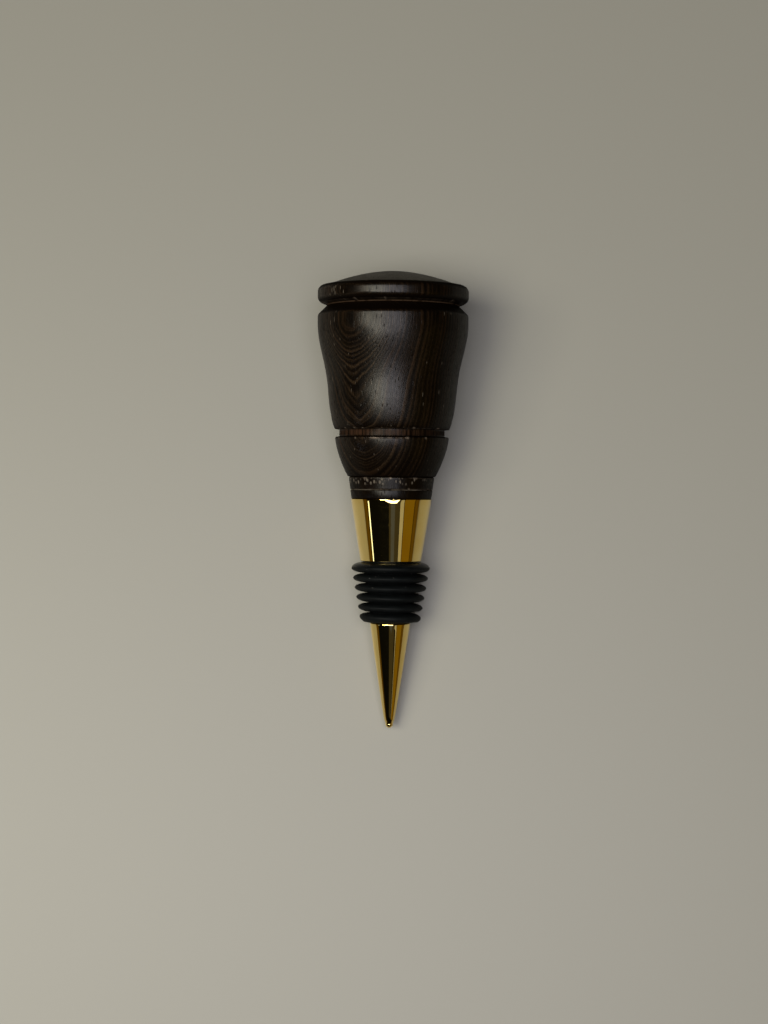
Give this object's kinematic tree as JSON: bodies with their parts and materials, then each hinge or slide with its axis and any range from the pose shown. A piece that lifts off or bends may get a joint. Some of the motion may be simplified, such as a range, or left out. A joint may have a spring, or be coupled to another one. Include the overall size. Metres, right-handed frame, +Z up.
{
  "type": "wine bottle stopper",
  "caption": "Wine bottle stopper: turned dark wooden handle with a domed head, on a gold-plated tapered metal cone with a ribbed black rubber seal and a pointed tip, shown lying at rest.",
  "frame": {"origin": "on the table, at the middle of the lying stopper's box", "axes": "+Y from the tip towards the wooden head, +Z up from the table, +X to the right; the stopper's own axis leans up towards the head"},
  "size_m": [0.039, 0.1168, 0.0399],
  "materials": {
    "dark_wood": "very dark brown striped hardwood, turned and given a satin lacquer",
    "gold_plate": "polished gold plating",
    "black_rubber": "smooth moulded black rubber",
    "stud_steel": "bright zinc-plated thread"
  },
  "bodies": {
    "root": {"wood_handle": "dark_wood", "threaded_stud": "stud_steel", "stopper_cone": "gold_plate", "rubber_seal": "black_rubber"}
  },
  "joints": []
}
